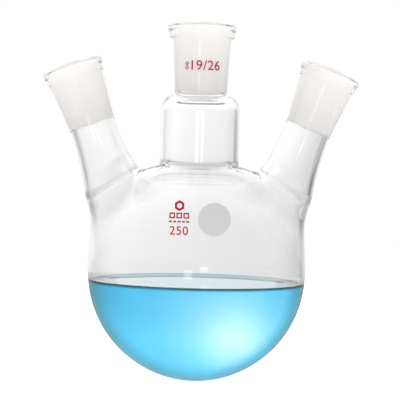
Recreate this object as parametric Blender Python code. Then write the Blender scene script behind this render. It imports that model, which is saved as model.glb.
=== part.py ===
"""Three-neck round bottom flask, 250 ml, with ground glass sockets and a pool of liquid.

Units are metres and +Z is up.  The origin is the lowest point of the bulb.  The middle neck
stands on the Z axis, and the two side necks lean outwards from it in the XZ plane.

The bulb and the feet of the necks are one blown surface.  It is described here by a distance
field: a sphere and three tubes, joined with rounded unions.  The bulb and the neck tubes are
cut out of that one surface at the welds, so that each meets the next without a step.
"""

import math

import bmesh
import bpy
import numpy as np
from mathutils import Vector

# Bulb
BULB_RADIUS = 0.0425
WALL = 0.0018
BULB_CENTRE = Vector((0.0, 0.0, BULB_RADIUS))
GAP = 0.0003  # air between touching pieces

# Middle neck: a wide tube with a rounded shoulder
CENTRE_NECK_RADIUS = 0.0154
CENTRE_NECK_ROOT_Z = 0.060
CENTRE_NECK_BLEND = 0.0015
CENTRE_WELD_Z = 0.0835
COLLAR_SLOPE = math.radians(33.0)  # of the cone that carries the neck and runs into the bulb
SHOULDER_Z = 0.1052
SHOULDER_OUTER = (0.0050, 0.0067)  # half axes of the shoulder's elliptical corner
SHOULDER_INNER = (0.0040, 0.0046)
CENTRE_SOCKET_Z = 0.1121
THROAT_RADIUS = 0.0083

# Side necks: tubes that flare towards the bulb
SIDE_TILT = math.radians(20.5)
SIDE_WELD_X = 0.0335
SIDE_WELD_Z = 0.0759
SIDE_WELD_TILT = math.radians(33.5)
SIDE_FOOT_RADIUS = 0.01165
SIDE_TOP_RADIUS = 0.00895
SIDE_FLARE = 2.1  # power of the flare's curve
SIDE_TUBE_LENGTH = 0.0245
SIDE_ROOT_LENGTH = 0.032
SIDE_NECK_BLEND = (0.003, 0.009)  # fillets on the middle neck's side and elsewhere
SIDE_BLEND_GROWS = (0.0225, 0.030)  # X over which the first turns into the second
SIDE_STRAIGHT_FROM = 0.40  # share of the tube by which its rings stand square to its axis

# The low ridge of glass between the necks
WEB_RADIUS = 0.0122
WEB_Z = 0.0700
WEB_REACH = 0.021
WEB_BLEND = (0.004, 0.010)  # along its crest and on its flanks
WEB_FLANK = 0.009

# Ground sockets, each with a beaded rim.  The bore tapers 1 in 10.
CENTRE_SOCKET = {"length": 0.0273, "foot": 0.01035, "top": 0.01125, "bead": 0.01345, "bore": 0.0094}
SIDE_SOCKET = {"length": 0.0251, "foot": 0.00920, "top": 0.01055, "bead": 0.01200, "bore": 0.0085}
BORE_TAPER = 0.05  # change of radius for each unit of length
BEAD_HEIGHT = 0.0058
BEAD_ROUNDING = 0.0021
RIM_CHAMFER = 0.0005

# Liquid
LIQUID_Z = 0.0382
LIQUID_GAP = 0.00045

# Round enamel spot to write on
SPOT_X = 0.0064
SPOT_Z = 0.0641
SPOT_RADIUS = 0.0060
SPOT_THICKNESS = 0.0003

# Mesh density
BULB_SEGMENTS = 40
BULB_RINGS = 20
NECK_SEGMENTS = 32
SPOT_SEGMENTS = 20
CORNER_STEPS = 5
SHORTEST_EDGE = 0.0001
PAST_WELD = 0.001  # how far the bulb's skin runs past a weld before it is cut there


# ---------------------------------------------------------------- the glass surface as a field


def smooth_union(first, second, blend):
    """Union of two distance fields, rounded where they meet."""
    near = np.maximum(blend - np.abs(first - second), 0.0)
    return np.minimum(first, second) - near * near / (4.0 * blend)


def bulb_field(points):
    return np.linalg.norm(points - np.array(BULB_CENTRE), axis=1) - BULB_RADIUS


def collar_field(points):
    """A cone on the middle neck's axis, tangent to the bulb where it ends."""
    radius = np.hypot(points[:, 0], points[:, 1])
    rise = points[:, 2] - BULB_CENTRE.z
    slope = radius * math.sin(COLLAR_SLOPE) + rise * math.cos(COLLAR_SLOPE) - BULB_RADIUS
    edge = radius - BULB_RADIUS * math.sin(COLLAR_SLOPE)
    return np.maximum(np.maximum(slope, edge), -rise)


def centre_neck_field(points):
    """A tube that ends inside the bulb."""
    wall = np.hypot(points[:, 0], points[:, 1]) - CENTRE_NECK_RADIUS
    return np.maximum(wall, CENTRE_NECK_ROOT_Z - points[:, 2])


def side_axis(side):
    return Vector((side * math.sin(SIDE_TILT), 0.0, math.cos(SIDE_TILT)))


def side_weld_centre(side):
    return Vector((side * SIDE_WELD_X, 0.0, SIDE_WELD_Z))


def side_weld_normal(side):
    return Vector((side * math.sin(SIDE_WELD_TILT), 0.0, math.cos(SIDE_WELD_TILT)))


def side_neck_field(points, side):
    """A tube that flares down to its weld and ends in a round cap inside the bulb."""
    axis = np.array(side_axis(side))
    offset = points - np.array(side_weld_centre(side))
    along = offset @ axis
    radial = np.linalg.norm(offset - along[:, None] * axis, axis=1)
    below_root = np.minimum(along + SIDE_ROOT_LENGTH, 0.0)
    flare = (1.0 - np.clip(along / SIDE_TUBE_LENGTH, 0.0, 1.0)) ** SIDE_FLARE
    radius = SIDE_TOP_RADIUS + (SIDE_FOOT_RADIUS - SIDE_TOP_RADIUS) * flare
    return np.hypot(radial, below_root) - radius


def web_field(points):
    """A level bar through the roots of the three necks."""
    past_end = np.maximum(np.abs(points[:, 0]) - WEB_REACH, 0.0)
    return np.sqrt(past_end ** 2 + points[:, 1] ** 2 + (points[:, 2] - WEB_Z) ** 2) - WEB_RADIUS


def web_blend(points):
    share = np.clip(np.abs(points[:, 1]) / WEB_FLANK, 0.0, 1.0)
    crest, flank = WEB_BLEND
    return crest + (flank - crest) * share * share * (3.0 - 2.0 * share)


def side_blend(points, side):
    """The size of the fillet at a side neck's root, small towards the middle neck."""
    start, end = SIDE_BLEND_GROWS
    share = np.clip((side * points[:, 0] - start) / (end - start), 0.0, 1.0)
    small, large = SIDE_NECK_BLEND
    return small + (large - small) * share * share * (3.0 - 2.0 * share)


def glass_field(points):
    """Distance from the outer glass surface, below zero inside it."""
    field = np.minimum(bulb_field(points), collar_field(points))
    field = smooth_union(field, web_field(points), web_blend(points))
    for side in (-1, 1):
        field = smooth_union(field, side_neck_field(points, side), side_blend(points, side))
    return smooth_union(field, centre_neck_field(points), CENTRE_NECK_BLEND)


def reach(origins, directions, level, nearest, farthest):
    """How far each ray runs before the field first rises to level, and at most farthest."""
    steps = 80
    low = np.full(len(origins), nearest)
    high = np.full(len(origins), farthest)
    found = np.zeros(len(origins), bool)
    for distance in np.linspace(nearest, farthest, steps + 1)[1:]:
        outside = glass_field(origins + directions * distance) >= level
        first = outside & ~found
        high[first] = distance
        low[first] = distance - (farthest - nearest) / steps
        found |= outside
    for _ in range(30):
        middle = (low + high) / 2.0
        outside = glass_field(origins + directions * middle[:, None]) >= level
        high = np.where(outside, middle, high)
        low = np.where(outside, low, middle)
    return np.where(found, high, farthest)


# ---------------------------------------------------------------- meshes


def new_object(name, mesh_builder, material, origin=Vector()):
    """An object whose mesh is the bmesh given, with its own origin at the point given."""
    bmesh.ops.recalc_face_normals(mesh_builder, faces=mesh_builder.faces)
    if mesh_builder.calc_volume(signed=True) < 0.0:
        bmesh.ops.reverse_faces(mesh_builder, faces=mesh_builder.faces)
    bmesh.ops.translate(mesh_builder, vec=-origin, verts=mesh_builder.verts)
    mesh = bpy.data.meshes.new(name)
    mesh_builder.to_mesh(mesh)
    mesh_builder.free()
    mesh.shade_smooth()
    mesh.set_sharp_from_angle(angle=math.radians(40.0))
    mesh.materials.append(material)
    obj = bpy.data.objects.new(name, mesh)
    obj.location = origin
    bpy.context.scene.collection.objects.link(obj)
    return obj


def loft(rings):
    """A closed ring-shaped solid: each ring of points is joined to the next, the last to the first."""
    built = bmesh.new()
    loops = [[built.verts.new(point) for point in ring] for ring in rings]
    count = len(rings[0])
    for index, loop in enumerate(loops):
        following = loops[(index + 1) % len(loops)]
        for i in range(count):
            j = (i + 1) % count
            built.faces.new((loop[i], loop[j], following[j], following[i]))
    return built


def turned(profile, segments):
    """A solid of revolution about Z from a closed outline of (radius, height) points."""
    built = bmesh.new()
    verts = [built.verts.new((radius, 0.0, height)) for radius, height in profile]
    edges = [built.edges.new((a, b)) for a, b in zip(verts, verts[1:])]
    if profile[0][0] > 0.0:
        edges.append(built.edges.new((verts[-1], verts[0])))
    bmesh.ops.spin(
        built, geom=verts + edges, axis=(0.0, 0.0, 1.0), cent=(0.0, 0.0, 0.0),
        steps=segments, angle=2.0 * math.pi, use_merge=True,
    )
    bmesh.ops.remove_doubles(built, verts=built.verts, dist=1e-6)
    return built


def corner(centre, half_axes, start, end):
    """Points along an elliptical arc, between two angles in degrees."""
    points = []
    for step in range(CORNER_STEPS + 1):
        angle = math.radians(start + (end - start) * step / CORNER_STEPS)
        points.append((centre[0] + half_axes[0] * math.cos(angle),
                       centre[1] + half_axes[1] * math.sin(angle)))
    return points


def flat_ring(radius, height, segments):
    angles = [2.0 * math.pi * i / segments for i in range(segments)]
    return [Vector((radius * math.sin(a), radius * math.cos(a), height)) for a in angles]


def glass_ring(centre, normal, level, segments):
    """Where the glass surface, or a level inside it, crosses the plane through a neck's centre."""
    back = Vector((0.0, 1.0, 0.0))
    right = back.cross(normal).normalized()
    angles = [2.0 * math.pi * i / segments for i in range(segments)]
    directions = np.array([right * math.sin(a) + back * math.cos(a) for a in angles])
    origins = np.repeat(np.array([centre]), segments, axis=0)
    distances = reach(origins, directions, level, 0.002, 0.022)
    return [Vector(point) for point in origins + directions * distances[:, None]]


# ---------------------------------------------------------------- pieces


def bulb_skin(level):
    """The bulb's outer surface, or one a wall's thickness inside it, cut open at the three welds."""
    skin = bmesh.new()
    bmesh.ops.create_uvsphere(skin, u_segments=BULB_SEGMENTS, v_segments=BULB_RINGS, radius=1.0)
    directions = np.array([vert.co.normalized() for vert in skin.verts])
    origins = np.repeat(np.array([BULB_CENTRE]), len(directions), axis=0)
    distances = reach(origins, directions, level, 0.030, 0.058)
    welds = [(side_weld_centre(side), side_weld_normal(side)) for side in (-1, 1)]
    welds.append((Vector((0.0, 0.0, CENTRE_WELD_Z)), Vector((0.0, 0.0, 1.0))))
    for point, normal in welds:
        height = (point - BULB_CENTRE).dot(normal) + PAST_WELD
        climb = np.maximum(directions @ np.array(normal), 1e-6)
        distances = np.minimum(distances, height / climb)
    for vert, direction, distance in zip(skin.verts, directions, distances):
        vert.co = BULB_CENTRE + Vector(direction) * distance
    for point, normal in welds:
        bmesh.ops.bisect_plane(
            skin, geom=skin.verts[:] + skin.edges[:] + skin.faces[:], dist=1e-7,
            plane_co=point - normal * GAP / 2.0, plane_no=normal, clear_outer=True)
    bmesh.ops.remove_doubles(skin, verts=skin.verts, dist=SHORTEST_EDGE)
    if level < 0.0:
        bmesh.ops.reverse_faces(skin, faces=skin.faces)
    mesh = bpy.data.meshes.new("skin")
    skin.to_mesh(mesh)
    skin.free()
    return mesh


def boundary_loops(built):
    """The open edges, grouped into loops."""
    taken = set()
    loops = []
    for first in built.edges:
        if not first.is_boundary or first in taken:
            continue
        taken.add(first)
        loop, tips = [first], list(first.verts)
        while tips:
            for edge in tips.pop().link_edges:
                if edge.is_boundary and edge not in taken:
                    taken.add(edge)
                    loop.append(edge)
                    tips.extend(edge.verts)
        loops.append(loop)
    return loops


def build_bulb(material):
    """Outer and inner skins, joined by a flat ring of glass at each weld."""
    built = bmesh.new()
    for level in (0.0, -WALL):
        mesh = bulb_skin(level)
        built.from_mesh(mesh)
        bpy.data.meshes.remove(mesh)
    rims = {}
    for loop in boundary_loops(built):
        middle = sum(edge.verts[0].co.x for edge in loop) / len(loop)
        rims.setdefault(round(middle / SIDE_WELD_X), []).append(loop)
    for outer, inner in rims.values():
        bmesh.ops.bridge_loops(built, edges=outer + inner)
    return new_object("globe", built, material)


def build_centre_neck(material):
    outer_corner = (CENTRE_NECK_RADIUS - SHOULDER_OUTER[0], SHOULDER_Z)
    inner_corner = (CENTRE_NECK_RADIUS - WALL - SHOULDER_INNER[0], SHOULDER_Z)
    low = CENTRE_WELD_Z + GAP / 2.0
    high = CENTRE_SOCKET_Z - GAP / 2.0
    foot = [low + rise for rise in (0.0, 0.0008, 0.0018, 0.0034, 0.0065, 0.0105)]
    up = Vector((0.0, 0.0, 1.0))
    outer = [glass_ring(Vector((0.0, 0.0, z)), up, 0.0, NECK_SEGMENTS) for z in foot]
    inner = [glass_ring(Vector((0.0, 0.0, z)), up, -WALL, NECK_SEGMENTS) for z in foot]
    outer += [flat_ring(r, z, NECK_SEGMENTS) for r, z in corner(outer_corner, SHOULDER_OUTER, 0, 90)]
    inner += [flat_ring(r, z, NECK_SEGMENTS) for r, z in corner(inner_corner, SHOULDER_INNER, 0, 90)]
    outer.append(flat_ring(CENTRE_SOCKET["foot"], high, NECK_SEGMENTS))
    inner.append(flat_ring(THROAT_RADIUS, high, NECK_SEGMENTS))
    return new_object("centre_neck_tube", loft(outer + inner[::-1]), material)


def build_side_neck(name, side, material):
    """Rings turn from the weld's slope to square across the neck as they climb it."""
    rises = (0.0, 0.06, 0.14, 0.25, 0.40, 0.65, 1.0)  # shares of the tube's length
    start = side_weld_centre(side) + side_weld_normal(side) * GAP / 2.0
    length = SIDE_TUBE_LENGTH - GAP
    outer, inner = [], []
    for rise in rises:
        turn = min(rise / SIDE_STRAIGHT_FROM, 1.0)
        normal = side_weld_normal(side).lerp(side_axis(side), turn).normalized()
        centre = start + side_axis(side) * length * rise
        outer.append(glass_ring(centre, normal, 0.0, NECK_SEGMENTS))
        inner.append(glass_ring(centre, normal, -WALL, NECK_SEGMENTS))
    return new_object(name, loft(outer + inner[::-1]), material)


def socket_outline(size):
    """Half section of a ground socket: foot, tapered wall, beaded rim with a flat top, bore."""
    length, bead = size["length"], size["bead"]
    low = GAP / 2.0
    bead_foot = length - BEAD_HEIGHT
    rounding = (BEAD_ROUNDING, BEAD_ROUNDING)
    outline = [(size["foot"], low), (size["foot"], low + 0.003), (size["top"], bead_foot - 0.003)]
    outline.append((size["top"] + 0.0002, bead_foot - 0.0005))
    outline.append((bead - 0.0006, bead_foot))
    outline.append((bead, bead_foot + 0.0008))
    outline += corner((bead - BEAD_ROUNDING, length - BEAD_ROUNDING), rounding, 0, 90)
    outline.append((size["bore"] + RIM_CHAMFER, length))
    outline.append((size["bore"], length - RIM_CHAMFER))
    outline.append((size["bore"] - BORE_TAPER * length, low))
    return outline


def build_socket(name, size, foot, axis, material):
    built = turned(socket_outline(size), NECK_SEGMENTS)
    turn = Vector((0.0, 0.0, 1.0)).rotation_difference(axis).to_matrix()
    bmesh.ops.rotate(built, cent=(0.0, 0.0, 0.0), matrix=turn, verts=built.verts)
    bmesh.ops.translate(built, vec=foot, verts=built.verts)
    return new_object(name, built, material)


def build_liquid(material):
    """A pool in the bulb.  Its origin is the bulb's centre, about which its level swings."""
    radius = BULB_RADIUS - WALL - LIQUID_GAP
    depth = BULB_RADIUS - LIQUID_Z
    edge = math.asin(-depth / radius)
    bottom = -math.pi / 2.0
    steps = BULB_RINGS // 2
    angles = [bottom + (edge - bottom) * step / steps for step in range(steps + 1)]
    outline = [(max(radius * math.cos(a), 0.0), radius * math.sin(a)) for a in angles]
    outline[0] = (0.0, -radius)
    outline.append((0.0, -depth))
    built = turned(outline, BULB_SEGMENTS)
    bmesh.ops.translate(built, vec=BULB_CENTRE, verts=built.verts)
    return new_object("liquid", built, material, origin=BULB_CENTRE)


def build_spot(material):
    """A thin round patch, turned flat and then bent onto the front of the bulb."""
    half = SPOT_THICKNESS / 2.0
    steps = 4
    outline = [(SPOT_RADIUS * step / steps, half) for step in range(steps + 1)]
    outline += [(radius, -half) for radius, _ in reversed(outline)]
    built = turned(outline, SPOT_SEGMENTS)
    verts = list(built.verts)
    lift = np.array([GAP + half + vert.co.z for vert in verts])
    origins = np.array([(SPOT_X + vert.co.x, 0.0, SPOT_Z + vert.co.y) for vert in verts])
    front = np.repeat(np.array([(0.0, -1.0, 0.0)]), len(verts), axis=0)
    for vert, origin, raised in zip(verts, origins, lift):
        distance = reach(origin[None], front[:1], raised, 0.020, 0.050)[0]
        vert.co = Vector(origin) + Vector((0.0, -distance, 0.0))
    return new_object("marking_spot", built, material)


# ---------------------------------------------------------------- materials


def new_material(name, colour, roughness, transmission=0.0, ior=1.5):
    material = bpy.data.materials.new(name)
    material.use_nodes = True
    shader = material.node_tree.nodes["Principled BSDF"]
    shader.inputs["Base Color"].default_value = (*colour, 1.0)
    shader.inputs["Roughness"].default_value = roughness
    shader.inputs["Metallic"].default_value = 0.0
    shader.inputs["Transmission Weight"].default_value = transmission
    shader.inputs["IOR"].default_value = ior
    return material


def glass_material(name):
    return new_material(name, (0.96, 0.98, 0.98), 0.02, transmission=1.0, ior=1.47)


def frosted_material(name):
    return new_material(name, (0.88, 0.88, 0.86), 0.45, transmission=0.6, ior=1.47)


def main():
    for obj in list(bpy.data.objects):
        bpy.data.objects.remove(obj, do_unlink=True)
    build_bulb(glass_material("bulb_glass"))
    build_centre_neck(glass_material("centre_neck_glass"))
    centre_foot = Vector((0.0, 0.0, CENTRE_SOCKET_Z))
    build_socket("centre_joint_socket", CENTRE_SOCKET, centre_foot, Vector((0.0, 0.0, 1.0)),
                 frosted_material("centre_ground_glass"))
    for word, side in (("left", -1), ("right", 1)):
        build_side_neck(f"{word}_neck_tube", side, glass_material(f"{word}_neck_glass"))
        foot = side_weld_centre(side) + side_axis(side) * SIDE_TUBE_LENGTH
        build_socket(f"{word}_joint_socket", SIDE_SOCKET, foot, side_axis(side),
                     frosted_material(f"{word}_ground_glass"))
    build_liquid(new_material("blue_liquid", (0.10, 0.60, 0.85), 0.05, 0.7, 1.33))
    build_spot(new_material("grey_enamel", (0.62, 0.62, 0.62), 0.5))


main()
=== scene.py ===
"""The looks of the three-neck round bottom flask: glass, ground sockets, liquid, prints, light.

Units are metres and +Z is up.  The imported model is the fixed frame.  The glass here repeats the
part's own design at a finer resolution: one blown surface, described by a distance field, is cut
at the welds into the bulb and the neck tubes.  Each piece stands for the CAD node of its name.
"""

import math

import bmesh
import bpy
import numpy as np
from mathutils import Matrix, Vector


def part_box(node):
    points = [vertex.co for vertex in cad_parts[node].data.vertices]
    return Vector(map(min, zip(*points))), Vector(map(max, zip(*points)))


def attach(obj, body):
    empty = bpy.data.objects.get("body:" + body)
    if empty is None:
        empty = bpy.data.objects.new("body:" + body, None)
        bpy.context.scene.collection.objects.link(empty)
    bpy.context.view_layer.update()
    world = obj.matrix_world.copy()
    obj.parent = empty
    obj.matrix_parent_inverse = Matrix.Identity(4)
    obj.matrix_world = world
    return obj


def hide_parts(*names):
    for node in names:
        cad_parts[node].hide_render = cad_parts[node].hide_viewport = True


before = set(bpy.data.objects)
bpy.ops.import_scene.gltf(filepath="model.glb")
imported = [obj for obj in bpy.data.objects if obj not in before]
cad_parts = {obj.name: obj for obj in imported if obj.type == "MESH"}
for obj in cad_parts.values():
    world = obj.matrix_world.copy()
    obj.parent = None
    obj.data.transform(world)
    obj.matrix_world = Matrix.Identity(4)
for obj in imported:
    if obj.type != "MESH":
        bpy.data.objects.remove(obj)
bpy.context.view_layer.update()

# ---------------------------------------------------------------- sizes: the bulb's and the liquid's from the frame, the rest given

GLOBE_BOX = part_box("globe")
LIQUID_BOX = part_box("liquid")

BULB_RADIUS = GLOBE_BOX[1].y
BULB_CENTRE = Vector((0.0, 0.0, BULB_RADIUS))
LIQUID_Z = LIQUID_BOX[1].z
WALL = 0.0018
SEAM = 0.00002  # hairline between two pieces of the one fused body

# Middle neck
CENTRE_NECK_RADIUS = 0.0154
CENTRE_NECK_ROOT_Z = 0.060
CENTRE_NECK_BLEND = 0.0015
CENTRE_WELD_Z = 0.0835
CENTRE_WELD_ZONE = 0.0105  # height above the weld where the tube's rings stand closest
COLLAR_SLOPE = math.radians(33.0)
SHOULDER_Z = 0.1052
SHOULDER_OUTER = (0.0050, 0.0067)
SHOULDER_INNER = (0.0040, 0.0046)
CENTRE_SOCKET_Z = 0.1121
THROAT_RADIUS = 0.0083

# Side necks
SIDE_TILT = math.radians(20.5)
SIDE_WELD_X = 0.0335
SIDE_WELD_Z = 0.0759
SIDE_WELD_TILT = math.radians(33.5)
SIDE_FOOT_RADIUS = 0.01165
SIDE_TOP_RADIUS = 0.00895
SIDE_FLARE = 2.1
SIDE_TUBE_LENGTH = 0.0245
SIDE_ROOT_LENGTH = 0.032
SIDE_NECK_BLEND = (0.003, 0.009)  # fillets on the middle neck's side and elsewhere
SIDE_BLEND_GROWS = (0.0225, 0.030)  # X over which the first turns into the second
WEB_RADIUS = 0.0122  # of the low ridge of glass between the necks
WEB_Z = 0.0700
WEB_REACH = 0.021
WEB_BLEND = (0.004, 0.010)  # along its crest and on its flanks
WEB_FLANK = 0.009
SIDE_STRAIGHT_FROM = 0.40  # share of the tube's length in which its rings turn from weld to axis

# Ground sockets
CENTRE_SOCKET = {"length": 0.0273, "foot": 0.01035, "top": 0.01125, "bead": 0.01345, "bore": 0.0094}
SIDE_SOCKET = {"length": 0.0251, "foot": 0.00920, "top": 0.01055, "bead": 0.01200, "bore": 0.0085}
BORE_TAPER = 0.05
BEAD_HEIGHT = 0.0058
WALL_LOW = 0.003  # height above the foot where the socket's wall starts to widen
WALL_HIGH = 0.0025  # and depth below the bead where it stops
GROUND_FROM = 0.0006  # the grinding starts this far above the socket's foot
GROUND_TO = 0.0012  # and ends this far below its rim

# Weld marks: the glass is a little thicker where two tubes were fused, with a crease on the seam
OUTER_RIDGE = 0.00004
INNER_RIDGE = 0.00010
RIDGE_WIDTH = 0.0010
COLLAR_RIDGE = 1.8
SIDE_WELD_REACH = (0.0152, 0.0185)
CENTRE_WELD_REACH = (0.0168, 0.0205)
COLLAR_SHOWN = (0.60, 0.85)  # where the collar's edge starts to show, from the side to the front

# Liquid
LIQUID_OVERLAP = 0.00006  # into the wall, so that light meets no air between liquid and glass
MENISCUS_RISE = 0.0009
MENISCUS_REACH = 0.0012

# Prints
SPOT_X = 0.0062
SPOT_Z = 0.0642
SPOT_RADIUS = 0.0060
SPOT_SEGMENTS = 72
SOCKET_PRINT_Z = 0.1224
SOCKET_TEXT_HEIGHT = 0.0036
BULB_PRINT_X = -0.0068
BULB_TEXT_HEIGHT = 0.0031
PRINT_THICKNESS = 0.00006
PRINT_LIFT = 0.00003

# Light
GLASS_IOR = 1.47
WATER_IOR = 1.33
BOUNCES = 96  # enough for light to cross every wall of glass
DIFFUSE_BOUNCES = 10

# Floor and camera
FLOOR_RADIUS = 0.6
FLOOR_DROP = 0.0001
EYE = Vector((0.0007, -0.590, 0.0810))
AIM = Vector((0.0007, 0.0, 0.0706))
CAMERA_LEAN = math.radians(1.4)
CAMERA_ANGLE = math.radians(15.12)

# Search for the skins of the glass along rays: nearest and farthest, and how finely
BULB_RAYS = (0.030, 0.058)  # from the bulb's centre
NECK_RAYS = (0.002, 0.022)  # from a neck's axis
RAY_STEPS = 80
RAY_HALVINGS = 26
NEAR_AXIS = 1e-6  # keeps the ridges finite on the bulb's axis, where its lowest point lies

# Mesh density
BULB_SEGMENTS = 256
BULB_RINGS = 128
NECK_SEGMENTS = 144
SOCKET_SEGMENTS = 96
LIQUID_SEGMENTS = 192
SHOULDER_STEPS = 16
FILLET_STEPS = 6
BEND_STEP = 0.0004
SHORTEST_EDGE = 0.00002
PAST_WELD = 0.001
FINE_BANDS = (0.007, 0.004)  # the bulb's mesh is split finer this near to a weld's plane
FINE_REACH = 0.021
FINE_ABOVE_Z = 0.060


# ---------------------------------------------------------------- the glass surface as a field


def smooth_union(first, second, blend):
    near = np.maximum(blend - np.abs(first - second), 0.0)
    return np.minimum(first, second) - near * near / (4.0 * blend)


def bulb_field(points):
    return np.linalg.norm(points - np.array(BULB_CENTRE), axis=1) - BULB_RADIUS


def collar_field(points):
    """A cone on the middle neck's axis, tangent to the bulb where it ends."""
    radius = np.hypot(points[:, 0], points[:, 1])
    rise = points[:, 2] - BULB_CENTRE.z
    slope = radius * math.sin(COLLAR_SLOPE) + rise * math.cos(COLLAR_SLOPE) - BULB_RADIUS
    edge = radius - BULB_RADIUS * math.sin(COLLAR_SLOPE)
    return np.maximum(np.maximum(slope, edge), -rise)


def centre_neck_field(points):
    wall = np.hypot(points[:, 0], points[:, 1]) - CENTRE_NECK_RADIUS
    return np.maximum(wall, CENTRE_NECK_ROOT_Z - points[:, 2])


def side_axis(side):
    return Vector((side * math.sin(SIDE_TILT), 0.0, math.cos(SIDE_TILT)))


def side_weld_centre(side):
    return Vector((side * SIDE_WELD_X, 0.0, SIDE_WELD_Z))


def side_weld_normal(side):
    return Vector((side * math.sin(SIDE_WELD_TILT), 0.0, math.cos(SIDE_WELD_TILT)))


def side_neck_field(points, side):
    """A tube that flares down to its weld and ends in a round cap inside the bulb."""
    axis = np.array(side_axis(side))
    offset = points - np.array(side_weld_centre(side))
    along = offset @ axis
    radial = np.linalg.norm(offset - along[:, None] * axis, axis=1)
    below_root = np.minimum(along + SIDE_ROOT_LENGTH, 0.0)
    flare = (1.0 - np.clip(along / SIDE_TUBE_LENGTH, 0.0, 1.0)) ** SIDE_FLARE
    radius = SIDE_TOP_RADIUS + (SIDE_FOOT_RADIUS - SIDE_TOP_RADIUS) * flare
    return np.hypot(radial, below_root) - radius


def web_field(points):
    """A level bar through the three necks' roots."""
    past_end = np.maximum(np.abs(points[:, 0]) - WEB_REACH, 0.0)
    return np.sqrt(past_end ** 2 + points[:, 1] ** 2 + (points[:, 2] - WEB_Z) ** 2) - WEB_RADIUS


def web_blend(points):
    crest, flank = WEB_BLEND
    return crest + (flank - crest) * smooth_step(np.abs(points[:, 1]), 0.0, WEB_FLANK)


def side_blend(points, side):
    """The size of the fillet at a side neck's root, small towards the middle neck."""
    small, large = SIDE_NECK_BLEND
    return small + (large - small) * smooth_step(side * points[:, 0], *SIDE_BLEND_GROWS)


def glass_field(points):
    """Distance from the plain outer surface, below zero inside it."""
    field = np.minimum(bulb_field(points), collar_field(points))
    field = smooth_union(field, web_field(points), web_blend(points))
    for side in (-1, 1):
        field = smooth_union(field, side_neck_field(points, side), side_blend(points, side))
    return smooth_union(field, centre_neck_field(points), CENTRE_NECK_BLEND)


def smooth_step(values, start, end):
    share = np.clip((values - start) / (end - start), 0.0, 1.0)
    return share * share * (3.0 - 2.0 * share)


def ridge(points):
    """A ridge of height one along the welds and along the collar's edge, creased at its top."""
    radius = np.hypot(points[:, 0], points[:, 1])
    height = np.abs(points[:, 2] - CENTRE_WELD_Z)
    total = np.exp(-height / RIDGE_WIDTH) * (1.0 - smooth_step(radius, *CENTRE_WELD_REACH))
    height = np.abs(points[:, 2] - BULB_CENTRE.z - BULB_RADIUS * math.cos(COLLAR_SLOPE))
    front = smooth_step(np.abs(points[:, 1]) / np.maximum(radius, NEAR_AXIS), *COLLAR_SHOWN)
    total += COLLAR_RIDGE * np.exp(-height / RIDGE_WIDTH) * front
    for side in (-1, 1):
        offset = points - np.array(side_weld_centre(side))
        height = np.abs(offset @ np.array(side_weld_normal(side)))
        near = 1.0 - smooth_step(np.linalg.norm(offset, axis=1), *SIDE_WELD_REACH)
        total += np.exp(-height / RIDGE_WIDTH) * near
    return total


def outer_field(points):
    return glass_field(points) - OUTER_RIDGE * ridge(points)


def inner_field(points):
    return glass_field(points) + WALL + INNER_RIDGE * ridge(points)


def reach(field, origins, directions, nearest, farthest):
    """How far each ray runs before the field first rises to zero, and at most farthest."""
    low = np.full(len(origins), nearest)
    high = np.full(len(origins), farthest)
    found = np.zeros(len(origins), bool)
    for distance in np.linspace(nearest, farthest, RAY_STEPS + 1)[1:]:
        outside = field(origins + directions * distance) >= 0.0
        first = outside & ~found
        high[first] = distance
        low[first] = distance - (farthest - nearest) / RAY_STEPS
        found |= outside
    for _ in range(RAY_HALVINGS):
        middle = (low + high) / 2.0
        outside = field(origins + directions * middle[:, None]) >= 0.0
        high = np.where(outside, middle, high)
        low = np.where(outside, low, middle)
    return np.where(found, high, farthest)


# ---------------------------------------------------------------- meshes


def new_object(name, builder, materials, origin=Vector(), sharp=35.0):
    bmesh.ops.recalc_face_normals(builder, faces=builder.faces)
    if builder.calc_volume(signed=True) < 0.0:
        bmesh.ops.reverse_faces(builder, faces=builder.faces)
    bmesh.ops.translate(builder, vec=-origin, verts=builder.verts)
    mesh = bpy.data.meshes.new(name)
    builder.to_mesh(mesh)
    builder.free()
    mesh.shade_smooth()
    mesh.set_sharp_from_angle(angle=math.radians(sharp))
    for material in materials:
        mesh.materials.append(material)
    obj = bpy.data.objects.new(name + "_look", mesh)
    obj.location = origin
    bpy.context.scene.collection.objects.link(obj)
    return obj


def loft(rings, slots):
    """A closed ring-shaped solid.  Slots holds the material number of each band of faces."""
    built = bmesh.new()
    loops = [[built.verts.new(point) for point in ring] for ring in rings]
    count = len(rings[0])
    for index, loop in enumerate(loops):
        following = loops[(index + 1) % len(loops)]
        for i in range(count):
            j = (i + 1) % count
            face = built.faces.new((loop[i], loop[j], following[j], following[i]))
            face.material_index = slots[index]
    return built


def flat_ring(radius, height, segments):
    angles = [2.0 * math.pi * i / segments for i in range(segments)]
    return [Vector((radius * math.sin(a), radius * math.cos(a), height)) for a in angles]


def glass_ring(field, centre, normal, segments):
    """Where a skin of the glass crosses the plane through a neck's centre."""
    back = Vector((0.0, 1.0, 0.0))
    right = back.cross(normal).normalized()
    angles = [2.0 * math.pi * i / segments for i in range(segments)]
    directions = np.array([right * math.sin(a) + back * math.cos(a) for a in angles])
    origins = np.repeat(np.array([centre]), segments, axis=0)
    distances = reach(field, origins, directions, *NECK_RAYS)
    return [Vector(point) for point in origins + directions * distances[:, None]]


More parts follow.
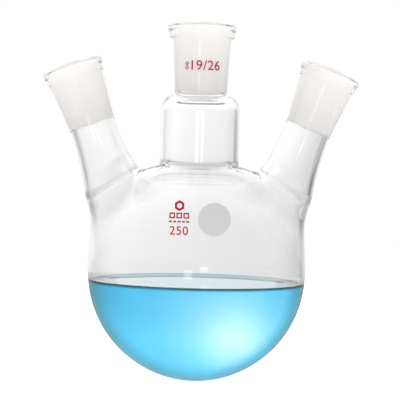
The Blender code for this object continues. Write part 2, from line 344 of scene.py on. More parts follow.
def fillet(before, corner, after, radius):
    """An arc of the given radius in place of an outline's corner."""
    corner, before, after = Vector(corner), Vector(before), Vector(after)
    first, second = (before - corner).normalized(), (after - corner).normalized()
    half = math.acos(max(-1.0, min(1.0, first.dot(second)))) / 2.0
    if radius <= 0.0 or half > 1.55:
        return [tuple(corner)]
    run = min(radius / math.tan(half), (before - corner).length * 0.49, (after - corner).length * 0.49)
    start, end = corner + first * run, corner + second * run
    size = run * math.tan(half)
    centre = corner + (first + second).normalized() * (size / math.sin(half))
    points = []
    for step in range(FILLET_STEPS + 1):
        share = step / FILLET_STEPS
        arm = (start - centre).lerp(end - centre, share).normalized() * size
        points.append(tuple(centre + arm))
    return points


def rounded(corners):
    """Outline points and band numbers from (radius, height, fillet, band) corners, closed."""
    outline, bands = [], []
    for index, (r, z, size, band) in enumerate(corners):
        before, after = corners[index - 1], corners[(index + 1) % len(corners)]
        points = fillet(before[:2], (r, z), after[:2], size)
        outline += points
        bands += [band] * len(points)
    return outline, bands


# ---------------------------------------------------------------- glass pieces

CLEAR, FUSED, GROUND = 0, 1, 2


def weld_planes():
    planes = [(side_weld_centre(side), side_weld_normal(side)) for side in (-1, 1)]
    planes.append((Vector((0.0, 0.0, CENTRE_WELD_Z)), Vector((0.0, 0.0, 1.0))))
    return planes


def project(verts, field):
    """Moves vertices along lines from the bulb's centre onto a skin of the glass."""
    directions = np.array([(vert.co - BULB_CENTRE).normalized() for vert in verts])
    origins = np.repeat(np.array([BULB_CENTRE]), len(directions), axis=0)
    distances = reach(field, origins, directions, *BULB_RAYS)
    for point, normal in weld_planes():
        height = (point - BULB_CENTRE).dot(normal) + PAST_WELD
        climb = np.maximum(directions @ np.array(normal), 1e-6)
        distances = np.minimum(distances, height / climb)
    for vert, direction, distance in zip(verts, directions, distances):
        vert.co = BULB_CENTRE + Vector(direction) * distance


def near_weld(point, distance):
    return any(abs((point - centre).dot(normal)) < distance and (point - centre).length < FINE_REACH
               for centre, normal in weld_planes())


def bulb_skin(field):
    """The bulb's outer or inner surface, cut open at the three welds."""
    skin = bmesh.new()
    bmesh.ops.create_uvsphere(skin, u_segments=BULB_SEGMENTS, v_segments=BULB_RINGS, radius=BULB_RADIUS)
    bmesh.ops.translate(skin, vec=BULB_CENTRE, verts=skin.verts)
    project(skin.verts[:], field)
    for distance in FINE_BANDS:
        edges = [edge for edge in skin.edges
                 if edge.verts[0].co.z > FINE_ABOVE_Z and near_weld(edge.verts[0].co, distance)]
        made = bmesh.ops.subdivide_edges(skin, edges=edges, cuts=1, use_grid_fill=True)
        project([item for item in made["geom_inner"] if isinstance(item, bmesh.types.BMVert)], field)
    for point, normal in weld_planes():
        bmesh.ops.bisect_plane(
            skin, geom=skin.verts[:] + skin.edges[:] + skin.faces[:], dist=1e-7,
            plane_co=point - normal * SEAM / 2.0, plane_no=normal, clear_outer=True)
    bmesh.ops.remove_doubles(skin, verts=skin.verts, dist=SHORTEST_EDGE)
    if field is inner_field:
        bmesh.ops.reverse_faces(skin, faces=skin.faces)
    mesh = bpy.data.meshes.new("skin")
    skin.to_mesh(mesh)
    skin.free()
    return mesh


def boundary_loops(built):
    taken = set()
    loops = []
    for first in built.edges:
        if not first.is_boundary or first in taken:
            continue
        taken.add(first)
        loop, tips = [first], list(first.verts)
        while tips:
            for edge in tips.pop().link_edges:
                if edge.is_boundary and edge not in taken:
                    taken.add(edge)
                    loop.append(edge)
                    tips.extend(edge.verts)
        loops.append(loop)
    return loops


def build_bulb(materials):
    built = bmesh.new()
    for field in (outer_field, inner_field):
        mesh = bulb_skin(field)
        built.from_mesh(mesh)
        bpy.data.meshes.remove(mesh)
    rims = {}
    for loop in boundary_loops(built):
        middle = sum(edge.verts[0].co.x for edge in loop) / len(loop)
        rims.setdefault(round(middle / SIDE_WELD_X), []).append(loop)
    for outer, inner in rims.values():
        bridge = bmesh.ops.bridge_loops(built, edges=outer + inner)
        for face in bridge["faces"]:
            face.material_index = FUSED
    return new_object("globe", built, materials)


def skin_slots(count):
    """Material numbers for a tube lofted up its outer skin and down its inner one."""
    return [CLEAR] * (count - 1) + [FUSED] + [CLEAR] * (count - 1) + [FUSED]


def build_centre_neck(materials):
    low = CENTRE_WELD_Z + SEAM / 2.0
    high = CENTRE_SOCKET_Z - SEAM / 2.0
    outer_corner = (CENTRE_NECK_RADIUS - SHOULDER_OUTER[0], SHOULDER_Z)
    inner_corner = (CENTRE_NECK_RADIUS - WALL - SHOULDER_INNER[0], SHOULDER_Z)
    up = Vector((0.0, 0.0, 1.0))
    levels = [low + (CENTRE_WELD_ZONE - SEAM) * (step / 26.0) ** 1.3 for step in range(27)]
    levels += [levels[-1] + (SHOULDER_Z - levels[-1]) * share for share in (0.33, 0.67)]
    outer = [glass_ring(outer_field, Vector((0.0, 0.0, z)), up, NECK_SEGMENTS) for z in levels]
    inner = [glass_ring(inner_field, Vector((0.0, 0.0, z)), up, NECK_SEGMENTS) for z in levels]
    skins = ((outer, outer_corner, SHOULDER_OUTER), (inner, inner_corner, SHOULDER_INNER))
    for step in range(SHOULDER_STEPS + 1):
        angle = 0.5 * math.pi * step / SHOULDER_STEPS
        for rings, middle, axes in skins:
            radius = middle[0] + axes[0] * math.cos(angle)
            rings.append(flat_ring(radius, middle[1] + axes[1] * math.sin(angle), NECK_SEGMENTS))
    outer.append(flat_ring(CENTRE_SOCKET["foot"], high, NECK_SEGMENTS))
    inner.append(flat_ring(THROAT_RADIUS, high, NECK_SEGMENTS))
    built = loft(outer + inner[::-1], skin_slots(len(outer)))
    return new_object("centre_neck_tube", built, materials)


def build_side_neck(name, side, materials):
    start = side_weld_centre(side) + side_weld_normal(side) * SEAM / 2.0
    length = SIDE_TUBE_LENGTH - SEAM
    outer, inner = [], []
    count = 40
    for step in range(count + 1):
        rise = (step / count) ** 1.25
        turn = min(rise / SIDE_STRAIGHT_FROM, 1.0)
        normal = side_weld_normal(side).lerp(side_axis(side), turn).normalized()
        centre = start + side_axis(side) * length * rise
        outer.append(glass_ring(outer_field, centre, normal, NECK_SEGMENTS))
        inner.append(glass_ring(inner_field, centre, normal, NECK_SEGMENTS))
    return new_object(name, loft(outer + inner[::-1], skin_slots(len(outer))), materials)


def socket_wall(size, height):
    """Outer radius of a socket's wall at a height above its foot."""
    share = (height - WALL_LOW) / (size["length"] - BEAD_HEIGHT - WALL_HIGH - WALL_LOW)
    return size["foot"] + (size["top"] - size["foot"]) * max(0.0, min(1.0, share))


def socket_corners(size):
    """A socket's outline as (radius, height, fillet, band) corners, up its outside first."""
    length, bead, foot, top, bore = (size[key] for key in ("length", "bead", "foot", "top", "bore"))
    low = SEAM / 2.0
    lip = length - BEAD_HEIGHT
    return [
        (foot, low, 0.0, CLEAR),
        (foot, low + WALL_LOW, 0.006, CLEAR),
        (top, lip - WALL_HIGH, 0.004, CLEAR),
        (top + 0.0002, lip, 0.0009, CLEAR),
        (bead - 0.0007, lip + 0.0002, 0.0007, CLEAR),
        (bead - 0.0005, lip + 0.0016, 0.0005, CLEAR),
        (bead - 0.0008, lip + 0.0021, 0.0006, CLEAR),
        (bead, lip + 0.0032, 0.0014, CLEAR),
        (bead, length, 0.0022, CLEAR),
        (bore + 0.0005, length, 0.0003, CLEAR),
        (bore, length - 0.0006, 0.0002, CLEAR),
        (bore - BORE_TAPER * GROUND_TO, length - GROUND_TO, 0.0, GROUND),
        (bore - BORE_TAPER * (length - GROUND_FROM), GROUND_FROM, 0.0002, CLEAR),
        (bore - BORE_TAPER * length, low, 0.0, FUSED),
    ]


def build_socket(name, size, foot, axis, materials):
    outline, bands = rounded(socket_corners(size))
    built = loft([flat_ring(r, z, SOCKET_SEGMENTS) for r, z in outline], bands)
    turn = Vector((0.0, 0.0, 1.0)).rotation_difference(axis).to_matrix()
    bmesh.ops.rotate(built, cent=(0.0, 0.0, 0.0), matrix=turn, verts=built.verts)
    bmesh.ops.translate(built, vec=foot, verts=built.verts)
    return new_object(name, built, materials)


# ---------------------------------------------------------------- liquid


def build_liquid(material):
    """A pool with a meniscus.  Its origin is the bulb's centre, about which its level swings."""
    radius = BULB_RADIUS - WALL + LIQUID_OVERLAP
    depth = BULB_CENTRE.z - LIQUID_Z
    contact = -depth + MENISCUS_RISE
    edge = math.asin(contact / radius)
    steps = 72
    outline = []
    for step in range(steps + 1):
        angle = -0.5 * math.pi + (edge + 0.5 * math.pi) * step / steps
        outline.append((max(radius * math.cos(angle), 0.0), radius * math.sin(angle)))
    edge_radius = radius * math.cos(edge)
    steps = 28
    for step in range(1, steps + 1):
        painted_light_back = edge_radius * (step / steps) ** 2.2
        outline.append((edge_radius - painted_light_back, -depth + MENISCUS_RISE * math.exp(-painted_light_back / MENISCUS_REACH)))
    built = bmesh.new()
    verts = [built.verts.new((0.0, -r, z)) for r, z in outline]
    edges = [built.edges.new(pair) for pair in zip(verts, verts[1:])]
    bmesh.ops.spin(built, geom=verts + edges, axis=(0.0, 0.0, 1.0), cent=(0.0, 0.0, 0.0),
                   steps=LIQUID_SEGMENTS, angle=2.0 * math.pi, use_merge=True)
    bmesh.ops.remove_doubles(built, verts=built.verts, dist=1e-6)
    bmesh.ops.translate(built, vec=BULB_CENTRE, verts=built.verts)
    return new_object("liquid", built, [material], origin=BULB_CENTRE, sharp=50.0)


# ---------------------------------------------------------------- prints


def text_mesh(text, height):
    """Flat solid numerals of the given height, centred, facing -Y, in a bmesh."""
    curve = bpy.data.curves.new("numerals", "FONT")
    curve.body = text
    curve.align_x = "CENTER"
    curve.align_y = "CENTER"
    curve.size = height / 0.70
    curve.extrude = PRINT_THICKNESS / 2.0
    curve.offset = height * 0.010
    curve.space_character = 1.08
    obj = bpy.data.objects.new("numerals", curve)
    bpy.context.scene.collection.objects.link(obj)
    mesh = bpy.data.meshes.new_from_object(obj.evaluated_get(bpy.context.evaluated_depsgraph_get()))
    bpy.data.objects.remove(obj)
    built = bmesh.new()
    built.from_mesh(mesh)
    bpy.data.meshes.remove(mesh)
    bmesh.ops.remove_doubles(built, verts=built.verts, dist=1e-7)
    bmesh.ops.rotate(built, cent=(0, 0, 0), matrix=Matrix.Rotation(math.pi / 2, 3, "X"), verts=built.verts)
    return built


def plate_mesh(corners):
    """A flat solid with the given (x, z) corners, facing -Y, in a bmesh."""
    built = bmesh.new()
    front = [built.verts.new((x, -PRINT_THICKNESS / 2.0, z)) for x, z in corners]
    back = [built.verts.new((x, PRINT_THICKNESS / 2.0, z)) for x, z in corners]
    built.faces.new(front)
    built.faces.new(back[::-1])
    for i in range(len(corners)):
        j = (i + 1) % len(corners)
        built.faces.new((front[j], front[i], back[i], back[j]))
    return built


def ring_mesh(outer, inner, sides, start):
    """A flat polygon with a hole of the same shape, facing -Y, in a bmesh."""
    half = PRINT_THICKNESS / 2.0
    rings = []
    for radius, depth in ((outer, -half), (outer, half), (inner, half), (inner, -half)):
        angles = [start + 2.0 * math.pi * i / sides for i in range(sides)]
        rings.append([Vector((radius * math.cos(a), depth, radius * math.sin(a))) for a in angles])
    return loft(rings, [0] * 4)


def rectangle(width, height):
    x, z = width / 2.0, height / 2.0
    return [(-x, -z), (x, -z), (x, z), (-x, z)]


def slice_up(built, step):
    """Cuts a flat print into small cells, so that it can be bent."""
    xs = [vert.co.x for vert in built.verts]
    zs = [vert.co.z for vert in built.verts]
    spans = ((min(xs), max(xs), Vector((1, 0, 0))), (min(zs), max(zs), Vector((0, 0, 1))))
    for low, high, normal in spans:
        count = int((high - low) / step)
        for index in range(1, count + 1):
            place = normal * (low + (high - low) * index / (count + 1))
            geometry = built.verts[:] + built.edges[:] + built.faces[:]
            bmesh.ops.bisect_plane(built, geom=geometry, plane_co=place, plane_no=normal, dist=1e-8)


def join(target, source, x, z):
    """Adds one flat print to another, moved by (x, z)."""
    bmesh.ops.translate(source, vec=(x, 0.0, z), verts=source.verts)
    mesh = bpy.data.meshes.new("print")
    source.to_mesh(mesh)
    source.free()
    target.from_mesh(mesh)
    bpy.data.meshes.remove(mesh)


def wrap_on_bulb(built):
    """Presses a flat print back along +Y onto the front of the bulb."""
    slice_up(built, BEND_STEP * 2.0)
    for vert in built.verts:
        lift = PRINT_LIFT + PRINT_THICKNESS / 2.0 - vert.co.y
        radius = BULB_RADIUS + lift
        rise = vert.co.z - BULB_CENTRE.z
        vert.co.y = -math.sqrt(radius ** 2 - vert.co.x ** 2 - rise ** 2)


def wrap_on_socket(built):
    """Bends a flat print round the front of the middle socket."""
    slice_up(built, BEND_STEP)
    for vert in built.verts:
        wall = socket_wall(CENTRE_SOCKET, vert.co.z - CENTRE_SOCKET_Z)
        radius = wall + PRINT_LIFT + PRINT_THICKNESS / 2.0 - vert.co.y
        angle = vert.co.x / wall
        vert.co.x = radius * math.sin(angle)
        vert.co.y = -radius * math.cos(angle)


def build_socket_print(material):
    """The joint's size, with a plain mark before it."""
    built = bmesh.new()
    join(built, text_mesh("19/26", SOCKET_TEXT_HEIGHT), 0.0014, 0.0)
    for height in (0.0008, -0.0008):
        join(built, ring_mesh(0.0009, 0.00045, 4, 0.0), -0.0058, height)
    bmesh.ops.translate(built, vec=(0.0, 0.0, SOCKET_PRINT_Z), verts=built.verts)
    wrap_on_socket(built)
    return new_object("centre_socket_print", built, [material])


def build_bulb_print(material):
    """The volume, with a plain hexagon and plain bars over it."""
    built = bmesh.new()
    join(built, ring_mesh(0.0020, 0.00105, 6, math.pi / 6.0), 0.0, 0.0689)
    for column in (-1, 0, 1):
        join(built, ring_mesh(0.0015, 0.0008, 4, math.pi / 4.0), column * 0.0026, 0.0653)
    for column in range(-2, 3):
        join(built, plate_mesh(rectangle(0.0011, 0.0006)), column * 0.0016, 0.0631)
    join(built, text_mesh("250", BULB_TEXT_HEIGHT), 0.0, 0.0597)
    bmesh.ops.translate(built, vec=(BULB_PRINT_X, 0.0, 0.0), verts=built.verts)
    wrap_on_bulb(built)
    return new_object("bulb_print", built, [material])


def build_spot(material):
    angles = [2.0 * math.pi * i / SPOT_SEGMENTS for i in range(SPOT_SEGMENTS)]
    built = plate_mesh([(SPOT_RADIUS * math.cos(a), SPOT_RADIUS * math.sin(a)) for a in angles])
    bmesh.ops.translate(built, vec=(SPOT_X, 0.0, SPOT_Z), verts=built.verts)
    wrap_on_bulb(built)
    return new_object("marking_spot", built, [material])


# ---------------------------------------------------------------- materials


def grey(value):
    return (value, value, value, 1.0)


WHITE = grey(1.0)


class Graph:
    """Short ways to add nodes to a material or a world."""

    def __init__(self, tree):
        self.tree = tree
        tree.nodes.clear()

    def node(self, kind, settings=None, **inputs):
        """Adds a node.  An input is given by its name with underscores, or as i and its number."""
        made = self.tree.nodes.new(kind)
        for key, value in (settings or {}).items():
            setattr(made, key, value)
        for key, value in inputs.items():
            name = int(key[1:]) if key[1:].isdigit() else key.replace("_", " ")
            self.plug(made.inputs[name], value)
        return made

    def plug(self, socket, value):
        if isinstance(value, bpy.types.NodeSocket):
            self.tree.links.new(value, socket)
        else:
            socket.default_value = value

    def math(self, operation, first, second=0.0, third=0.0):
        made = self.node("ShaderNodeMath", {"operation": operation})
        for socket, value in zip(made.inputs, (first, second, third)):
            self.plug(socket, value)
        return made.outputs[0]

    def step(self, value, start, end, low=0.0, high=1.0):
        made = self.node("ShaderNodeMapRange", {"interpolation_type": "SMOOTHSTEP"})
        names = ("Value", "From Min", "From Max", "To Min", "To Max")
        for name, number in zip(names, (value, start, end, low, high)):
            self.plug(made.inputs[name], number)
        return made.outputs[0]

    def mix_colour(self, share, first, second):
        made = self.node("ShaderNodeMix", {"data_type": "RGBA"})
        for index, value in ((0, share), (6, first), (7, second)):
            self.plug(made.inputs[index], value)
        return made.outputs[2]

    def mix_shader(self, share, first, second):
        made = self.node("ShaderNodeMixShader")
        for index, value in enumerate((share, first, second)):
            self.plug(made.inputs[index], value)
        return made.outputs[0]

    def add_shaders(self, first, second):
        made = self.node("ShaderNodeAddShader")
        for socket, value in zip(made.inputs, (first, second)):
            self.plug(socket, value)
        return made.outputs[0]

    def split(self, vector):
        return self.node("ShaderNodeSeparateXYZ", Vector=vector).outputs

    def to_camera(self, vector, kind):
        """A world vector as the camera sees it.  Kind is VECTOR or NORMAL."""
        settings = {"vector_type": kind, "convert_from": "WORLD", "convert_to": "CAMERA"}
        return self.node("ShaderNodeVectorTransform", settings, Vector=vector).outputs[0]

    def deeper(self, path, kind):
        """One for light that has met at least one surface of the given kind."""
        return self.math("GREATER_THAN", path[kind + " Depth"], 0.5)

    def noise(self, scale, detail=2.0):
        place = self.node("ShaderNodeTexCoord").outputs["Object"]
        return self.node("ShaderNodeTexNoise", Vector=place, Scale=scale, Detail=detail).outputs[0]

    def bump(self, height, strength, distance):
        return self.node("ShaderNodeBump", Height=height, Strength=strength, Distance=distance).outputs[0]


def new_material(name):
    material = bpy.data.materials.new(name)
    material.use_nodes = True
    return material, Graph(material.node_tree)


def clear_glass():
    """Borosilicate glass with the faint waves of blown glass."""
    material, graph = new_material("clear_glass")
    waves = graph.bump(graph.noise(90.0, 1.0), 0.05, 0.0006)
    glass = graph.node("ShaderNodeBsdfGlass", Color=grey(0.998), Roughness=0.0, IOR=GLASS_IOR, Normal=waves)
    graph.node("ShaderNodeOutputMaterial", Surface=glass.outputs[0])
    return material


def fused_glass():
    """The cut through fused glass, which light passes straight."""
    material, graph = new_material("fused_glass")
    through = graph.node("ShaderNodeBsdfTransparent", Color=WHITE)
    graph.node("ShaderNodeOutputMaterial", Surface=through.outputs[0])
    return material


def ground_glass():
    """Glass ground matt: milky, with a fine grain."""
    material, graph = new_material("ground_glass")
    grain = graph.noise(2600.0, 3.0)
    tone = graph.mix_colour(grain, (0.93, 0.915, 0.895, 1.0), (0.985, 0.97, 0.955, 1.0))
    bumps = graph.bump(grain, 0.25, 0.00004)
    matt = graph.node("ShaderNodeBsdfDiffuse", Color=tone, Roughness=0.6, Normal=bumps).outputs[0]
    glow = graph.node("ShaderNodeBsdfTranslucent", Color=tone, Normal=bumps).outputs[0]
    graph.node("ShaderNodeOutputMaterial", Surface=graph.mix_shader(0.5, matt, glow))
    return material


# Painted light in the liquid, pale zones that follow the view: centre and spread across and up the view,
# and strength
LIQUID_PAINTED_LIGHT_ZONES = (((0.36, -0.58), (0.27, 0.27), 0.62), ((0.24, -0.42), (0.52, 0.40), 0.40))
LIQUID_BLUE = (0.085, 0.575, 0.93, 1.0)
# The blue above is the water's own; the colours below are painted light and shade: pale zones, dark edge,
# dark rim line, pale level, grey in mirrors, glow
LIQUID_PAINTED_PALE = (0.60, 0.92, 0.94, 1.0)
LIQUID_PAINTED_EDGE_SHADE = (0.025, 0.38, 0.55, 1.0)
LIQUID_PAINTED_RIM_SHADE = (0.05, 0.36, 0.52, 1.0)
LIQUID_PAINTED_LEVEL_SHEEN = (0.64, 0.88, 0.94, 1.0)
LIQUID_PAINTED_MIRROR_GREY = (0.80, 0.84, 0.86, 1.0)
LIQUID_PAINTED_GLOW = (0.10, 0.72, 1.0, 1.0)
LIQUID_PAINTED_GLOW_STRENGTH = 0.18


def painted_pale_zones(graph, across, upward):
    """How much paler the liquid is painted, as painted light, from how its surface faces the camera."""
    total = 0.0
    for centre, spread, strength in LIQUID_PAINTED_LIGHT_ZONES:
        u = graph.math("DIVIDE", graph.math("SUBTRACT", across, centre[0]), spread[0])
        v = graph.math("DIVIDE", graph.math("SUBTRACT", upward, centre[1]), spread[1])
        away = graph.math("ADD", graph.math("MULTIPLY", u, u), graph.math("MULTIPLY", v, v))
        zone = graph.math("EXPONENT", graph.math("MULTIPLY", away, -1.0))
        total = graph.math("MULTIPLY_ADD", zone, strength, total)
    return total


def blue_liquid():
    """Blue water, tinted as light enters it.  Painted light and shade: pale zones and a dark edge that
    follow the camera, a dark line under the level, a pale level, a pale grey look in mirrors and a faint
    glow.
    """
    material, graph = new_material("blue_liquid")
    geometry = graph.node("ShaderNodeNewGeometry").outputs
    path = graph.node("ShaderNodeLightPath").outputs
    across, upward, _ = graph.split(graph.to_camera(geometry["Normal"], "NORMAL"))
    # painted light: pale zones where the liquid's surface faces the lower right of the view
    tint = graph.mix_colour(painted_pale_zones(graph, across, upward), LIQUID_BLUE, LIQUID_PAINTED_PALE)
    off_centre = graph.math("MULTIPLY", across, across)
    off_centre = graph.math("ADD", off_centre, graph.math("MULTIPLY", upward, upward))
    # painted shade: the liquid darker towards the edge of its disc as the camera sees it
    tint = graph.mix_colour(graph.step(off_centre, 0.66, 0.96), tint, LIQUID_PAINTED_EDGE_SHADE)
    height = graph.split(graph.node("ShaderNodeTexCoord").outputs["Object"])["Z"]
    surface = LIQUID_Z - BULB_CENTRE.z
    # painted shade: a dark line just under the liquid's level, along the meniscus
    tint = graph.mix_colour(graph.step(height, surface - 0.0006, surface + 0.0002), tint, LIQUID_PAINTED_RIM_SHADE)
    # painted reflection: the liquid's level face is painted pale
    level = graph.step(graph.split(geometry["Normal"])["Z"], 0.5, 0.95)
    tint = graph.mix_colour(level, tint, LIQUID_PAINTED_LEVEL_SHEEN)
    tint = graph.mix_colour(geometry["Backfacing"], tint, WHITE)
    # painted reflection: what mirrors show of the liquid is painted pale grey, not blue
    mirrored = graph.deeper(path, "Glossy")
    tint = graph.mix_colour(mirrored, tint, LIQUID_PAINTED_MIRROR_GREY)
    water = graph.node("ShaderNodeBsdfRefraction", Color=tint, Roughness=0.0, IOR=WATER_IOR).outputs[0]
    mirror = graph.node("ShaderNodeBsdfGlossy", Color=WHITE, Roughness=0.0).outputs[0]
    share = graph.node("ShaderNodeFresnel", IOR=WATER_IOR).outputs[0]
    body = graph.mix_shader(share, water, mirror)
    # painted light: a faint blue glow on the liquid's outer faces below its level, not shown in mirrors
    entering = graph.math("SUBTRACT", 1.0, geometry["Backfacing"])
    entering = graph.math("MAXIMUM", graph.math("SUBTRACT", entering, mirrored), 0.0)
    below = graph.step(height, surface + 0.0002, surface - 0.0006)
    strength = graph.math("MULTIPLY", graph.math("MULTIPLY", entering, below), LIQUID_PAINTED_GLOW_STRENGTH)
    glow = graph.node("ShaderNodeEmission", Color=LIQUID_PAINTED_GLOW, Strength=strength).outputs[0]
    graph.node("ShaderNodeOutputMaterial", Surface=graph.add_shaders(body, glow))
    return material


def painted_light_back(graph):
    """One on the back of a print, which is seen through the glass and gets less light, so that side is
    painted paler: painted light.
    """
    normal = graph.node("ShaderNodeNewGeometry").outputs["Normal"]
    return graph.step(graph.split(normal)["Y"], 0.2, 0.6)


def red_enamel():
    material, graph = new_material("red_enamel")
    patchy = graph.noise(900.0, 3.0)
    tone = graph.mix_colour(patchy, (0.24, 0.002, 0.010, 1.0), (0.29, 0.004, 0.015, 1.0))
    # painted light: the back of the print is painted a paler red
    tone = graph.mix_colour(painted_light_back(graph), tone, (0.62, 0.010, 0.035, 1.0))
    bumps = graph.bump(patchy, 0.2, 0.00002)
    paint = graph.node("ShaderNodeBsdfPrincipled", Base_Color=tone, Roughness=0.55,
                       Specular_IOR_Level=0.08, Normal=bumps)
    graph.node("ShaderNodeOutputMaterial", Surface=paint.outputs[0])
    return material


def grey_enamel():
    material, graph = new_material("grey_enamel")
    speckle = graph.noise(1500.0, 4.0)
    tone = graph.mix_colour(speckle, grey(0.335), grey(0.365))
    # painted light: the back of the spot is painted a pale grey
    tone = graph.mix_colour(painted_light_back(graph), tone, grey(0.90))
    bumps = graph.bump(speckle, 0.3, 0.00003)
    paint = graph.node("ShaderNodeBsdfPrincipled", Base_Color=tone, Roughness=0.6, Normal=bumps)
    graph.node("ShaderNodeOutputMaterial", Surface=paint.outputs[0])
    return material


# ---------------------------------------------------------------- pieces


def place(piece, node, body, slot):
    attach(piece, body)
    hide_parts(node)


def build_flask():
    glass = [clear_glass(), fused_glass(), ground_glass()]
    place(build_bulb(glass), "globe", "glassware", "clear_glass")
    place(build_centre_neck(glass), "centre_neck_tube", "glassware", "clear_glass")
    foot = Vector((0.0, 0.0, CENTRE_SOCKET_Z))
    up = Vector((0.0, 0.0, 1.0))
    socket = build_socket("centre_joint_socket", CENTRE_SOCKET, foot, up, glass)
    place(socket, "centre_joint_socket", "glassware", "ground_glass")
    for word, side in (("left", -1), ("right", 1)):
        tube = build_side_neck(word + "_neck_tube", side, glass)
        place(tube, word + "_neck_tube", "glassware", "clear_glass")
        foot = side_weld_centre(side) + side_axis(side) * SIDE_TUBE_LENGTH
        socket = build_socket(word + "_joint_socket", SIDE_SOCKET, foot, side_axis(side), glass)
        place(socket, word + "_joint_socket", "glassware", "ground_glass")
    place(build_liquid(blue_liquid()), "liquid", "pool", "blue_liquid")
    place(build_spot(grey_enamel()), "marking_spot", "glassware", "grey_enamel")
    red = red_enamel()
    for piece in (build_socket_print(red), build_bulb_print(red)):
        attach(piece, "glassware")


# ---------------------------------------------------------------- stage


def pale_floor():
    """Softly lit floor.  What glass mirrors of it is darker, and what lights matt surfaces brighter."""
    material, graph = new_material("pale_floor")
    path = graph.node("ShaderNodeLightPath").outputs
    matt = graph.node("ShaderNodeBsdfDiffuse", Color=grey(0.6), Roughness=0.5).outputs[0]
    glow = graph.node("ShaderNodeEmission", Color=WHITE, Strength=0.75).outputs[0]
    seen = graph.add_shaders(matt, glow)
    place_on_floor = graph.node("ShaderNodeTexCoord").outputs["Object"]
    length = graph.node("ShaderNodeVectorMath", {"operation": "LENGTH"}, i0=place_on_floor)
    # painted shade: what the glass bends or mirrors of the floor glows less within 0.25 m of the flask than
    # towards the floor's rim, and what it mirrors is darker still
    strength = graph.step(length.outputs["Value"], 0.25, 0.60, 0.62, 0.77)
    strength = graph.math("MULTIPLY_ADD", graph.deeper(path, "Glossy"), -0.20, strength)
    strength = graph.math("MULTIPLY_ADD", graph.deeper(path, "Diffuse"), 1.0, strength)
    soft = graph.node("ShaderNodeEmission", Color=WHITE, Strength=strength).outputs[0]
    graph.node("ShaderNodeOutputMaterial", Surface=graph.mix_shader(path["Is Camera Ray"], soft, seen))
    return material


def build_floor():
    built = bmesh.new()
    bmesh.ops.create_circle(built, cap_ends=True, segments=96, radius=FLOOR_RADIUS)
    mesh = bpy.data.meshes.new("floor")
    built.to_mesh(mesh)
    built.free()
    mesh.materials.append(pale_floor())
    floor = bpy.data.objects.new("floor", mesh)
    floor.location.z = -FLOOR_DROP
    bpy.context.scene.collection.objects.link(floor)


# The studio's light, in degrees round and above the camera's own direction.
# Each row is a start, an end, and the change of light between the two.
EAST_STEPS = ((14.0, 38.0, -0.34), (45.0, 80.0, 0.26))
WEST_STEPS = ((14.0, 28.0, -0.12), (28.0, 44.0, -0.22), (50.0, 80.0, 0.12))
HEIGHT_STEPS = ((-1.5, -7.0, -0.22), (-1.0, 4.0, 0.14), (4.0, 20.0, 0.22))
LAMP_CENTRE = (-171.5, -3.0)
LAMP_SPREAD = (4.6, 7.0)
LAMP_STRENGTH = 2.6


def patch(graph, heading, centre, spread, power):
    """One at the centre (azimuth, elevation), fading over the spread."""
    total = []
    for angle, middle, width in zip(heading, centre, spread):
        offset = graph.math("DIVIDE", graph.math("SUBTRACT", angle, middle), width)
        total.append(graph.math("POWER", graph.math("ABSOLUTE", offset), power))
    return graph.math("EXPONENT", graph.math("MULTIPLY", graph.math("ADD", *total), -1.0))


def studio_light(graph, azimuth, elevation):
    """The light that the glass bends and mirrors: darker at the sides, and one lamp behind."""
    level = patch(graph, (azimuth, elevation), (0.0, 2.0), (1000.0, 20.0), 2.0)
    west = graph.math("MULTIPLY", azimuth, -1.0)
    side = 0.0
    for angle, rows in ((azimuth, EAST_STEPS), (west, WEST_STEPS)):
        for start, end, change in rows:
            side = graph.math("ADD", side, graph.step(angle, start, end, 0.0, change))
    light = graph.step(azimuth, -8.0, 3.0, 0.93, 0.84)
    light = graph.math("MULTIPLY_ADD", graph.step(azimuth, 1.0, 14.0), -0.10, light)
    for start, end, change in HEIGHT_STEPS:
        light = graph.math("MULTIPLY_ADD", graph.step(elevation, start, end), change, light)
    light = graph.math("MULTIPLY_ADD", side, level, light)
    behind = graph.step(graph.math("ABSOLUTE", azimuth), 80.0, 120.0)
    light = graph.math("MULTIPLY_ADD", behind, -0.16, light)
    lamp = patch(graph, (azimuth, elevation), LAMP_CENTRE, LAMP_SPREAD, 6.0)
    return graph.math("MULTIPLY_ADD", lamp, LAMP_STRENGTH, light)


def matt_light(graph, azimuth, elevation):
    """The light on matt surfaces, strongest from behind the camera."""
    facing = graph.step(graph.math("ABSOLUTE", azimuth), 50.0, 170.0, 1.35, 2.55)
    return graph.math("MULTIPLY", facing, graph.step(elevation, 0.0, 60.0, 1.0, 0.70))


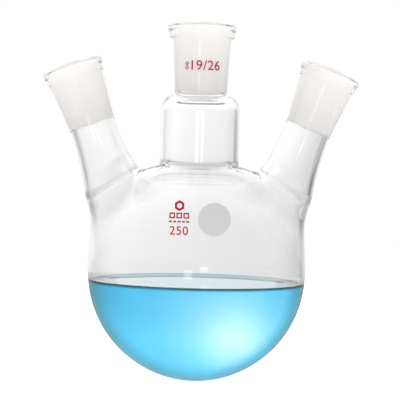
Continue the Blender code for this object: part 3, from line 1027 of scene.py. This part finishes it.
def build_world():
    """White behind the flask.  What the glass bends and mirrors is a studio that turns with the camera."""
    world = bpy.data.worlds.new("studio")
    world.use_nodes = True
    bpy.context.scene.world = world
    graph = Graph(world.node_tree)
    heading = graph.node("ShaderNodeTexCoord").outputs["Generated"]
    parts = graph.split(graph.to_camera(heading, "VECTOR"))
    azimuth = graph.math("DEGREES", graph.math("ARCTAN2", parts[0], parts[2]))
    elevation = graph.math("DEGREES", graph.math("ARCSINE", parts[1]))
    path = graph.node("ShaderNodeLightPath").outputs
    on_matt = graph.deeper(path, "Diffuse")
    on_glass = graph.math("SUBTRACT", 1.0, on_matt)
    light = graph.math("MULTIPLY", studio_light(graph, azimuth, elevation), on_glass)
    light = graph.math("ADD", light, graph.math("MULTIPLY", matt_light(graph, azimuth, elevation), on_matt))
    studio = graph.node("ShaderNodeBackground", Color=WHITE, Strength=light).outputs[0]
    white = graph.node("ShaderNodeBackground", Color=WHITE, Strength=1.0).outputs[0]
    graph.node("ShaderNodeOutputWorld", Surface=graph.mix_shader(path["Is Camera Ray"], studio, white))


def build_camera():
    """Nearly level, from the front, and leaned a little to one side."""
    camera = bpy.data.objects.new("camera", bpy.data.cameras.new("camera"))
    bpy.context.scene.collection.objects.link(camera)
    look = (AIM - EYE).to_track_quat("-Z", "Y").to_matrix() @ Matrix.Rotation(CAMERA_LEAN, 3, "Z")
    camera.matrix_world = Matrix.Translation(EYE) @ look.to_4x4()
    camera.data.angle = CAMERA_ANGLE
    camera.data.clip_start = 0.01
    bpy.context.scene.camera = camera


def set_light_paths():
    scene = bpy.context.scene
    scene.view_settings.view_transform = "Standard"
    cycles = scene.cycles
    cycles.max_bounces = BOUNCES
    cycles.transmission_bounces = BOUNCES
    cycles.glossy_bounces = BOUNCES
    cycles.transparent_max_bounces = BOUNCES
    cycles.diffuse_bounces = DIFFUSE_BOUNCES
    cycles.sample_clamp_indirect = 6.0
    cycles.use_denoising = True


build_flask()
build_floor()
build_world()
build_camera()
set_light_paths()
